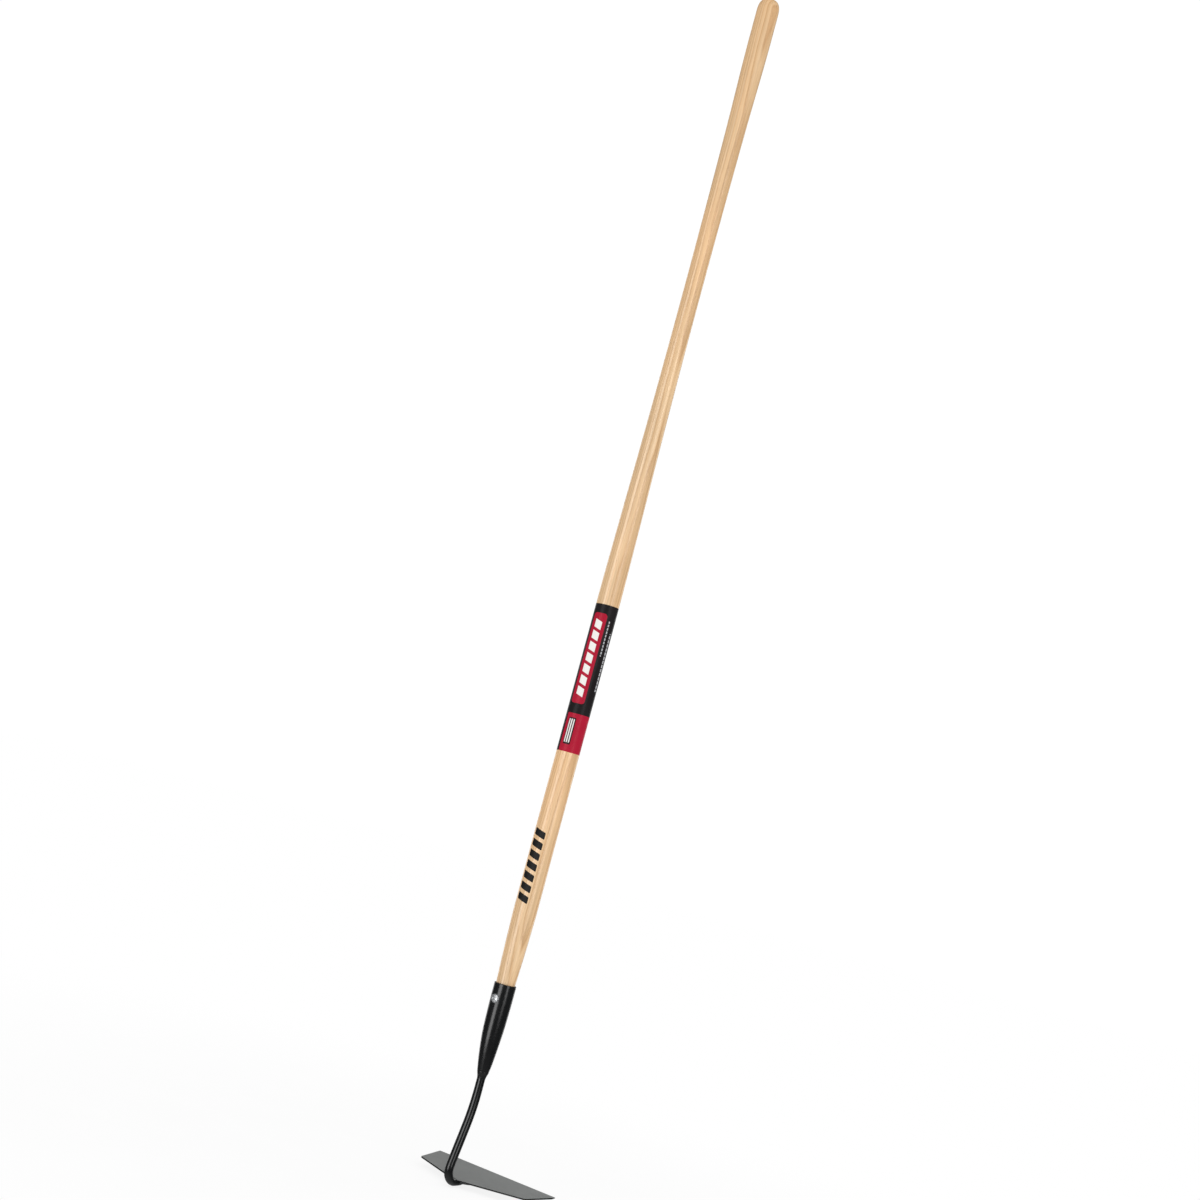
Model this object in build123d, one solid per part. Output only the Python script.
from build123d import *
import math
import os

# Draw hoe: an ash handle driven into a tapered steel socket, a bent steel neck
# and a flat steel blade. All lengths in millimetres.
# Frame: origin on the handle's axis at the middle of the full-diameter grip zone,
# +Z up the handle, +X along the blade's width, +Y towards the cutting edge.

# ---- handle -------------------------------------------------------------
GRIP_D = 28.575          # 1 1/8 in stock, the handle's full diameter
GRIP_LENGTH = 390.0      # straight cylindrical zone at full diameter
END_D = 28.1             # the thicker top end
END_FROM = 932.0         # the top end's straight zone, from and to
END_TO = 969.6
DOME = 17.7              # height of the rounded tip
WAIST = [                # (z, radius) between the grip zone and the top end
    (256.6, 13.76), (306.0, 13.21), (356.0, 12.63), (406.5, 12.07),
    (457.0, 11.61), (507.6, 11.31), (558.5, 11.16), (609.6, 11.14),
    (661.0, 11.24), (712.7, 11.48), (764.5, 11.82), (816.7, 12.32),
    (843.0, 12.74), (869.0, 13.26), (890.0, 13.64), (908.0, 13.88),
]
FOOT = [                 # (z, radius) between the grip zone and the socket's mouth
    (-216.2, 13.90), (-239.9, 13.32), (-263.5, 12.53), (-275.3, 12.05),
]
TENON = 94.5             # length of handle inside the socket

# ---- socket -------------------------------------------------------------
MOUTH = -286.3           # z of the socket's mouth
MOUTH_BORE = 11.60       # bore radius at the mouth
SOCKET_OUTSIDE = [       # (distance below the mouth, radius, how far the centre has drifted in Y)
    (0.0, 13.42, 0.0), (14.0, 13.42, 0.0), (28.0, 13.27, 0.0), (42.0, 12.97, 0.0), (55.0, 12.53, 0.0),
    (64.0, 11.97, 0.05), (73.0, 11.20, 0.30), (82.0, 10.33, 0.70), (90.0, 9.46, 1.15), (98.0, 8.40, 1.60),
    (106.0, 7.05, 1.90),
]
BORE_KNEE = (52.0, 10.70)    # the bore's taper steepens here
BORE_FOOT = (96.0, 6.70)     # end of the tapered bore
NOSE_FROM = 98.5             # the rod's seat starts here
SOCKET_LENGTH = 106.0

# ---- neck ---------------------------------------------------------------
ROD_D = 10.1
ROD_Y = 2.0              # the rod leaves the nose this far towards the cutting edge
ROD_TOP = 97.0           # distance of the rod's upper end below the mouth
BEND_1 = 150.0           # corner of the upper bend, below the mouth
BEND_1_R = 200.0
BEND_2 = (-17.4, 238.85)  # corner of the loop: y, distance below the mouth
BEND_2_R = 16.0
FOOT_RISE = 2.6          # degrees, the foot's slope after the loop
ROD_END_Y = 18.5         # the foot's end, under the blade

# ---- blade --------------------------------------------------------------
BLADE_W = 181.4          # cutting edge, corner to corner
BLADE_H = 83.1           # cutting edge to the gable's peak
SIDE_H = 49.7            # cutting edge to the gable's shoulders
SHOULDER_RATIO = 0.89    # width at the shoulders over BLADE_W
BLADE_T = 1.9
BLADE_TILT = 4.77        # degrees, the cutting edge is higher than the peak
EDGE_Y = 87.1            # middle of the cutting edge, upper face
EDGE_DROP = 228.55        # the same, below the mouth
CORNER_R = 1.2
SHOULDER_R = 2.0
PEAK_R = 3.0
BEVEL = 6.0              # width of the ground bevel, on the lower face
EDGE_T = 0.4             # thickness left at the cutting edge

# ---- welds, rivet, label ------------------------------------------------
WELD_LENGTH = 8.5        # socket weld, along the rod
RUN_LENGTH = 23.0        # blade weld, along each side of the gable
RIVET_DROP = 18.2        # rivet's axis below the mouth
SHANK_R = 2.4
HEAD_R = 5.3
HEAD_PROUD = 2.4         # head's height over the socket
TAIL_R = 4.0
TAIL_PROUD = 1.7
LABEL_FROM = 0.0
LABEL_TO = 185.0
LABEL_T = 0.15

grip_r = GRIP_D / 2
end_r = END_D / 2
rod_r = ROD_D / 2


def below(d):
    "z at a distance below the socket's mouth"
    return MOUTH - d


def turned(edges):
    "solid of revolution about Z from a closed run of edges in the XZ plane"
    face = Face(Wire(edges))
    return Solid.revolve(face, 360, Axis.Z)


def p(r, z):
    return Vector(r, 0, z)


# handle: one closed profile, from the tenon's end round to the tip
bore_slope_r = BORE_KNEE[1] + (BORE_FOOT[1] - BORE_KNEE[1]) * (TENON - BORE_KNEE[0]) / (BORE_FOOT[0] - BORE_KNEE[0])
chamfer_len = 1.0
bore_before_end = BORE_KNEE[1] + (BORE_FOOT[1] - BORE_KNEE[1]) * (TENON - chamfer_len - BORE_KNEE[0]) / (BORE_FOOT[0] - BORE_KNEE[0])
dome_points = [
    p(end_r, END_TO), p(end_r * 0.982, END_TO + DOME * 0.30),
    p(end_r * 0.900, END_TO + DOME * 0.60), p(end_r * 0.71, END_TO + DOME * 0.84),
    p(end_r * 0.405, END_TO + DOME * 0.965), p(0, END_TO + DOME),
]
handle_edges = [
    Edge.make_line(p(0, below(TENON)), p(bore_slope_r - 1.2, below(TENON))),
    Edge.make_line(p(bore_slope_r - 1.2, below(TENON)), p(bore_before_end, below(TENON - chamfer_len))),
    Edge.make_line(p(bore_before_end, below(TENON - chamfer_len)), p(BORE_KNEE[1], below(BORE_KNEE[0]))),
    Edge.make_line(p(BORE_KNEE[1], below(BORE_KNEE[0])), p(MOUTH_BORE, MOUTH)),
    Edge.make_spline(
        [p(MOUTH_BORE, MOUTH)] + [p(r, z) for z, r in reversed(FOOT)] + [p(grip_r, -GRIP_LENGTH / 2)],
        tangents=[Vector(0.045, 0, 1), Vector(0, 0, 1)]),
    Edge.make_line(p(grip_r, -GRIP_LENGTH / 2), p(grip_r, GRIP_LENGTH / 2)),
    Edge.make_spline(
        [p(grip_r, GRIP_LENGTH / 2)] + [p(r, z) for z, r in WAIST] + [p(end_r, END_FROM)],
        tangents=[Vector(0, 0, 1), Vector(0, 0, 1)]),
    Edge.make_line(p(end_r, END_FROM), p(end_r, END_TO)),
    Edge.make_spline(dome_points, tangents=[Vector(0, 0, 1), Vector(-1, 0, 0)]),
    Edge.make_line(p(0, END_TO + DOME), p(0, below(TENON))),
]
handle = turned(handle_edges)

# the rivet's hole runs along Y through the socket and the tenon
rivet_z = below(RIVET_DROP)
hole = Pos(0, 0, rivet_z) * Rot(90, 0, 0) * Cylinder(SHANK_R, 60)
handle = handle - hole

# socket: thin tapered wall, solid nose with a seat for the rod
def disc(d, r, y):
    return Pos(0, y, below(d)) * Circle(r)


envelope = loft([disc(*row) for row in SOCKET_OUTSIDE])
bore = turned([
    Edge.make_line(p(0, MOUTH + 1), p(MOUTH_BORE + 0.02, MOUTH + 1)),
    Edge.make_line(p(MOUTH_BORE + 0.02, MOUTH + 1), p(MOUTH_BORE, MOUTH)),
    Edge.make_line(p(MOUTH_BORE, MOUTH), p(BORE_KNEE[1], below(BORE_KNEE[0]))),
    Edge.make_line(p(BORE_KNEE[1], below(BORE_KNEE[0])), p(BORE_FOOT[1], below(BORE_FOOT[0]))),
    Edge.make_line(p(BORE_FOOT[1], below(BORE_FOOT[0])), p(0, below(NOSE_FROM))),
    Edge.make_line(p(0, below(NOSE_FROM)), p(0, MOUTH + 1)),
])
seat = Pos(0, ROD_Y, below((ROD_TOP + SOCKET_LENGTH + 4) / 2)) * Cylinder(rod_r, SOCKET_LENGTH + 4 - ROD_TOP)
socket = envelope - bore - seat - hole

# blade: drawn flat with its upper face up, then tilted and set in place
half = BLADE_W / 2
shoulder = half * SHOULDER_RATIO
outline = [(half, 0), (shoulder, -SIDE_H), (0, -BLADE_H), (-shoulder, -SIDE_H), (-half, 0)]
flat = make_face(Polyline(*outline, close=True))
radii = {0: CORNER_R, 1: SHOULDER_R, 2: PEAK_R, 3: SHOULDER_R, 4: CORNER_R}
for i, (x, y) in enumerate(outline):
    vertex = min(flat.vertices(), key=lambda v: math.hypot(v.X - x, v.Y - y))
    flat = fillet(vertex, radii[i])
flat_outline = flat
blade = extrude(flat, -BLADE_T)
bevel = Plane.YZ * make_face(Polyline(
    (1, -EDGE_T + (BLADE_T - EDGE_T) / BEVEL), (-BEVEL, -BLADE_T), (-BEVEL, -BLADE_T - 3), (1, -BLADE_T - 3), close=True))
blade = blade - extrude(bevel, BLADE_W, both=True)
place = Pos(0, EDGE_Y, below(EDGE_DROP)) * Rot(BLADE_TILT, 0, 0)
blade = place * blade


# neck: straight stub, upper bend, straight run, loop, foot
loop_y, loop_drop = BEND_2
foot_y = ROD_END_Y + 6.0


def foot_z(y):
    "z of the foot's centreline"
    return below(loop_drop) + (y - loop_y) * math.tan(math.radians(FOOT_RISE))


path = FilletPolyline(
    (0, ROD_Y, below(ROD_TOP)), (0, ROD_Y, below(BEND_1)), (0, loop_y, below(loop_drop)), (0, foot_y, foot_z(foot_y)),
    radius=[BEND_1_R, BEND_2_R])
rod = sweep(Plane(origin=(0, ROD_Y, below(ROD_TOP)), z_dir=(0, 0, -1)) * Circle(rod_r), path=path)
# the foot is notched to lie against the blade's lower face, eased down to the
# gable in front of it, and rounded up at its toe
above_blade = place * (Pos(0, 0, -BLADE_T) * extrude(flat_outline, 30))
peak_y = EDGE_Y - BLADE_H * math.cos(math.radians(BLADE_TILT))
peak_z = below(EDGE_DROP) - BLADE_H * math.sin(math.radians(BLADE_TILT))
ease = extrude(Plane.YZ * make_face(Polyline(
    (peak_y - 8.0, foot_z(peak_y - 8.0) + rod_r), (peak_y - 3.5, foot_z(peak_y) + rod_r - 0.5),
    (peak_y + 1.0, peak_z + 0.2), (peak_y + 40, peak_z + 0.2),
    (peak_y + 40, peak_z + 30), (peak_y - 8.0, peak_z + 30), close=True)), 20, both=True)
toe = extrude(Plane.YZ * make_face(Polyline(
    (9.0, foot_z(9.0) - rod_r), (14.0, foot_z(14.0) - rod_r + 1.5), (17.0, foot_z(17.0) - rod_r + 3.6),
    (ROD_END_Y, foot_z(ROD_END_Y) - 0.2), (ROD_END_Y, below(loop_drop) + 12), (ROD_END_Y + 20, below(loop_drop) + 12),
    (ROD_END_Y + 20, below(loop_drop) - 20), (9.0, below(loop_drop) - 20), close=True)), 20, both=True)
gooseneck = rod - above_blade - ease - toe

# weld between the socket's nose and the rod: a ring with a hollow face
nose_r = SOCKET_OUTSIDE[-1][1]
ring_top = below(SOCKET_LENGTH)
ring_edges = [
    Edge.make_line(p(rod_r, ring_top), p(nose_r, ring_top)),
    Edge.make_three_point_arc(
        p(nose_r, ring_top), p(nose_r - 0.68 * (nose_r - rod_r), ring_top - WELD_LENGTH * 0.52),
        p(rod_r, ring_top - WELD_LENGTH)),
    Edge.make_line(p(rod_r, ring_top - WELD_LENGTH), p(rod_r, ring_top)),
]
socket_weld = Pos(0, ROD_Y, 0) * turned(ring_edges)

# weld between the foot and the blade: a bead round the foot on the lower face,
# and a thinner run along each side of the gable, next to the rod
bead_y0, bead_y1, bead_w, bead_h = 2.0, 21.5, 16.0, 3.4
local_mid = -(EDGE_Y - (bead_y0 + bead_y1) / 2) / math.cos(math.radians(BLADE_TILT))
bead = Pos(0, local_mid, -BLADE_T) * extrude(RectangleRounded(bead_w, bead_y1 - bead_y0, 5.0), -bead_h, taper=35)
keep = Pos(0, 0, -BLADE_T - 10) * extrude(flat_outline, 10)
bead = bead & keep
run_angle = math.degrees(math.atan2(BLADE_H - SIDE_H, shoulder))
run_profile = [(1.5, 0), (1.5, 1.35), (8.0, 1.40), (14.0, 1.30), (19.0, 1.10), (RUN_LENGTH - 0.6, 0.86), (RUN_LENGTH, 0.6), (RUN_LENGTH, 0)]
run = Solid.revolve(Face(Wire([
    Edge.make_line(Vector(1.5, 0, 0), Vector(1.5, 1.35, 0)),
    Edge.make_spline([Vector(x, r, 0) for x, r in run_profile[1:6]]),
    Edge.make_line(Vector(RUN_LENGTH - 0.6, 0.86, 0), Vector(RUN_LENGTH, 0.6, 0)),
    Edge.make_line(Vector(RUN_LENGTH, 0.6, 0), Vector(RUN_LENGTH, 0, 0)),
    Edge.make_line(Vector(RUN_LENGTH, 0, 0), Vector(1.5, 0, 0)),
])), 360, Axis.X)
run = Pos(0, -BLADE_H, -BLADE_T / 2) * Rot(0, 0, run_angle) * run
runs = run + run.mirror(Plane.YZ)
blade_weld = place * (bead + runs) - blade - gooseneck

# rivet: domed head towards -Y, formed tail towards +Y
socket_r = 13.36
cap = Pos(0, 0, rivet_z) * Rot(90, 0, 0)


def dome(base_r, proud, sink=1.3, lip=0.5):
    "a low dome on the Z axis, its skirt sunk below the socket's surface"
    base = socket_r - sink
    top = socket_r + proud
    e = [
        Edge.make_line(p(0, base), p(base_r, base)),
        Edge.make_line(p(base_r, base), p(base_r, socket_r + lip * 0.4)),
        Edge.make_spline([p(base_r, socket_r + lip * 0.4), p(base_r * 0.72, socket_r + proud * 0.74), p(0, top)],
                         tangents=[Vector(-0.25, 0, 1), Vector(-1, 0, 0)]),
        Edge.make_line(p(0, top), p(0, base)),
    ]
    return turned(e)


head = (cap * dome(HEAD_R, HEAD_PROUD)) - envelope
tail = (Pos(0, 0, rivet_z) * Rot(-90, 0, 0) * dome(TAIL_R, TAIL_PROUD)) - envelope
shank = Pos(0, 0, rivet_z) * Rot(90, 0, 0) * Cylinder(SHANK_R, 2 * (socket_r + 0.6))
rivet = head + shank + tail

# label: a film sleeve on the grip zone's upper half
label = Pos(0, 0, (LABEL_FROM + LABEL_TO) / 2) * (
    Cylinder(grip_r + LABEL_T, LABEL_TO - LABEL_FROM) - Cylinder(grip_r, LABEL_TO - LABEL_FROM + 2))

parts = {
    "handle": handle,
    "socket": socket,
    "gooseneck": gooseneck,
    "blade": blade,
    "socket_weld": socket_weld,
    "blade_weld": blade_weld,
    "rivet": rivet,
    "label": label,
}

os.makedirs("parts", exist_ok=True)
for name, shape in parts.items():
    shape = shape if isinstance(shape, (Solid, Compound)) else Compound(children=shape.solids())
    print(name, len(shape.solids()), round(sum(s.volume for s in shape.solids()), 1),
          shape.bounding_box().min, shape.bounding_box().max)
    export_step(shape, f"parts/{name}.step")
